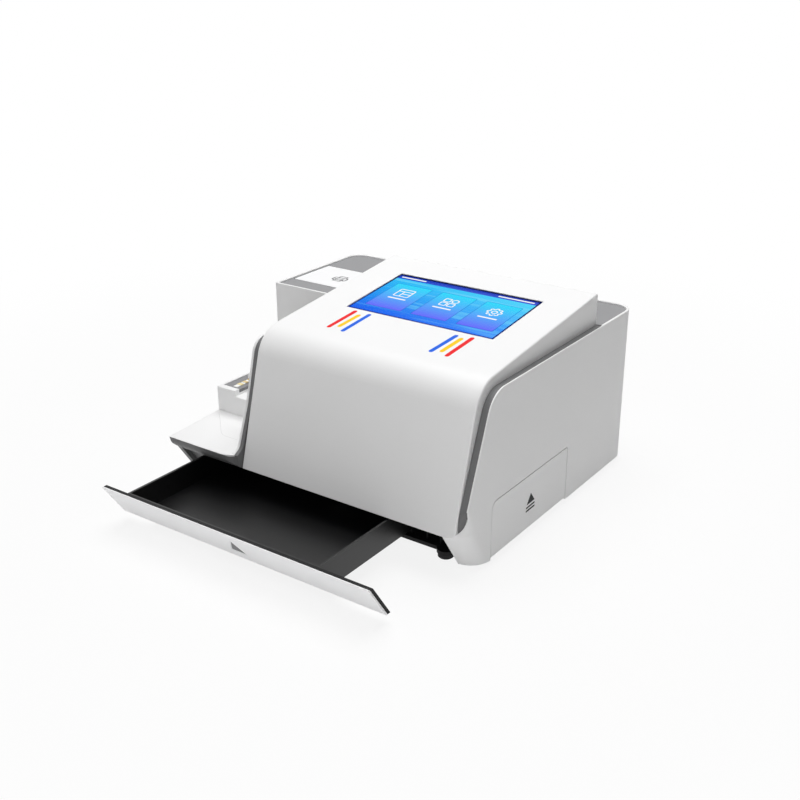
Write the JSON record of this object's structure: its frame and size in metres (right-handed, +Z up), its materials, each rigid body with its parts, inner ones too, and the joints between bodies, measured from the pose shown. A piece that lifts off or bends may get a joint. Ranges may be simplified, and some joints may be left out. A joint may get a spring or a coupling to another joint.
{
  "type": "urine analyzer",
  "caption": "Bench-top urine strip analyzer: wedge hood with touchscreen, strip platform with riser, printer tower with lid, side flap and an open waste drawer.",
  "frame": {"origin": "middle of the footprint at the level of the feet, with the drawer out as stored", "axes": "+X to the object's right, +Y to its back, +Z up; the drawer opens along -Y"},
  "size_m": [0.337, 0.4064, 0.1876],
  "materials": {
    "shell_white": "satin",
    "front_white": "satin",
    "plate_black": "matte",
    "tray_black": "gloss",
    "foot_rubber": "matte",
    "frame_grey": "matte",
    "deck_grey": "matte",
    "tray_grey": "satin",
    "strip_white": "matte",
    "steel": "brushed",
    "screen_glass": "gloss",
    "lcd_panel": "matte",
    "board_green": "satin",
    "supply_metal": "satin",
    "battery_wrap": "satin",
    "paper": "matte",
    "roller_rubber": "matte",
    "gear_nylon": "satin",
    "motor_case": "satin",
    "head_black": "satin",
    "belt_rubber": "matte",
    "socket_black": "matte",
    "port_metal": "satin",
    "board_blue": "satin"
  },
  "bodies": {
    "base": {"base_shell": "shell_white", "base_plate": "plate_black", "foot_front_left": "foot_rubber", "foot_front_right": "foot_rubber", "foot_back_left": "foot_rubber", "foot_back_right": "foot_rubber", "chassis_plate": "supply_metal", "hood": "shell_white", "groove_frame": "frame_grey", "platform_frame": "frame_grey", "platform_cover": "shell_white", "strip_stage": "shell_white", "strip_tray": "tray_grey", "transfer_cover": "front_white", "strip_bridge": "tray_grey", "pusher_rail": "steel", "rear_deck": "deck_grey", "lid_hinge_pin": "steel", "printer_bay": "plate_black", "print_head": "supply_metal", "printer_motor": "motor_case", "paper_spindle": "tray_grey", "screen_glass": "screen_glass", "lcd_module": "lcd_panel", "display_board": "board_blue", "main_board": "board_green", "power_supply": "supply_metal", "battery_cradle": "plate_black", "battery_pack": "battery_wrap", "inlet_socket": "socket_black", "switch_frame": "socket_black", "usb_ports": "port_metal", "serial_port": "port_metal", "guide_rod_left": "steel", "guide_rod_right": "steel", "rod_block_front": "supply_metal", "rod_block_back": "supply_metal", "read_table": "tray_grey", "scan_motor": "motor_case", "scan_belt": "belt_rubber", "drawer_rail_left": "plate_black", "drawer_rail_right": "plate_black", "door_hinge_pin": "steel"},
    "drawer": {"drawer_front": "front_white", "drawer_backing": "plate_black", "drawer_tray": "tray_black"},
    "lid": {"printer_lid": "front_white"},
    "flap": {"side_door": "shell_white"},
    "rocker": {"switch_rocker": "socket_black"},
    "strip_carriage": {"strip_pusher": "tray_grey", "test_strip": "strip_white"},
    "reading_head": {"optical_head": "head_black"},
    "motor_pulley": {"drive_pulley": "gear_nylon"},
    "idler": {"idler_pulley": "gear_nylon"},
    "roller": {"platen_roller": "roller_rubber", "platen_gear": "gear_nylon"},
    "motor_gear": {"drive_gear": "gear_nylon"},
    "roll": {"paper_roll": "paper"}
  },
  "joints": [
    {"name": "drawer_slide", "type": "slide", "parent": "base", "child": "drawer", "axis": [0, -1, 0], "range_m": [-0.0985, 0.02]},
    {"name": "lid_hinge", "type": "hinge", "parent": "base", "child": "lid", "pos_m": [-0.12265, 0.14363, 0.1563], "axis": [-1, 0, 0], "range_deg": [0, 100]},
    {"name": "flap_hinge", "type": "hinge", "parent": "base", "child": "flap", "pos_m": [0.16685, 0.00683, 0.0504], "axis": [0, -1, 0], "range_deg": [0, 100]},
    {"name": "rocker_hinge", "type": "hinge", "parent": "base", "child": "rocker", "pos_m": [0.09105, 0.19683, 0.0328], "axis": [1, 0, 0], "range_deg": [-10, 0]},
    {"name": "strip_feed", "type": "slide", "parent": "base", "child": "strip_carriage", "axis": [1, 0, 0], "range_m": [0, 0.088]},
    {"name": "head_scan", "type": "slide", "parent": "base", "child": "reading_head", "axis": [0, 1, 0], "range_m": [-0.044, 0.068]},
    {"name": "motor_pulley_spin", "type": "hinge", "parent": "base", "child": "motor_pulley", "pos_m": [-0.00695, -0.03917, 0.1048], "axis": [0, 0, 1], "range_deg": [-720, 720]},
    {"name": "idler_spin", "type": "hinge", "parent": "base", "child": "idler", "pos_m": [-0.00695, 0.07883, 0.1048], "axis": [0, 0, 1], "range_deg": [-720, 720]},
    {"name": "roller_spin", "type": "hinge", "parent": "base", "child": "roller", "pos_m": [-0.12265, 0.09733, 0.1443], "axis": [1, 0, 0], "continuous": true},
    {"name": "motor_gear_spin", "type": "hinge", "parent": "base", "child": "motor_gear", "pos_m": [-0.16375, 0.09733, 0.13418], "axis": [1, 0, 0], "continuous": true},
    {"name": "roll_spin", "type": "hinge", "parent": "base", "child": "roll", "pos_m": [-0.11885, 0.11983, 0.1264], "axis": [1, 0, 0], "continuous": true}
  ],
  "couplings": [
    {"joint": "motor_pulley_spin", "follows": "head_scan", "rad_per_m": -153.85},
    {"joint": "idler_spin", "follows": "head_scan", "rad_per_m": -153.85},
    {"joint": "roller_spin", "follows": "roll_spin", "ratio": 4.881},
    {"joint": "motor_gear_spin", "follows": "roll_spin", "ratio": -7.3214}
  ]
}
